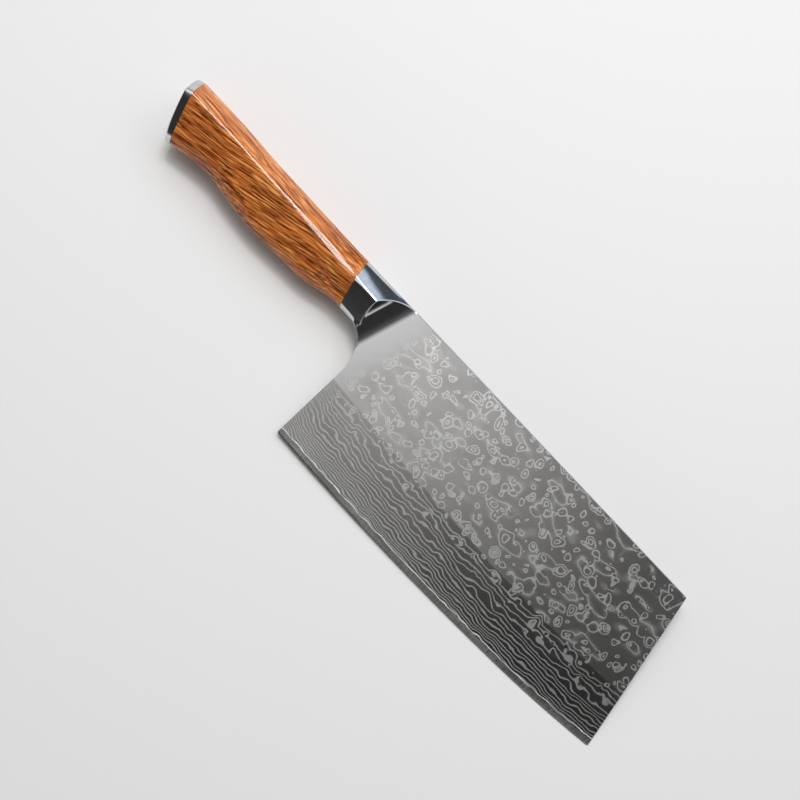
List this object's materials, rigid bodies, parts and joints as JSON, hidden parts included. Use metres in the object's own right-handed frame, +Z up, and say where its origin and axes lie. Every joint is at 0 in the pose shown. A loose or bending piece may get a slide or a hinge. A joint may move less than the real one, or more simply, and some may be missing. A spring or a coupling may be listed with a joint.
{
  "type": "chinese cleaver",
  "caption": "Slicing cleaver with a tall rectangular layered-steel blade, a scooped and faceted steel bolster, and a swelling faceted wooden handle with a domed steel cap.",
  "frame": {"origin": "middle of the footprint of the knife lying on a flat floor, at floor height", "axes": "+X from the handle towards the tip along the spine, +Y across the blade from the cutting edge towards the spine, +Z up. The knife lies on its left side, on the ridge at the butt, the point of the bolster's V and the tip's lower corner."},
  "size_m": [0.3274, 0.0832, 0.0234],
  "materials": {
    "core_steel": "satin, honed",
    "layered_steel": "polished and etched, with a pattern of fine rings and waves",
    "polished_steel": "mirror polished",
    "wood": "oiled and polished",
    "resin": "cured adhesive",
    "pin_steel": "drawn"
  },
  "bodies": {
    "root": {"blade_core": "core_steel", "cladding_right": "layered_steel", "cladding_left": "layered_steel", "bolster": "polished_steel", "bolster_pins": "pin_steel", "handle_block": "wood", "tang_bedding": "resin", "end_cap": "polished_steel", "end_cap_pins": "pin_steel"}
  },
  "joints": []
}
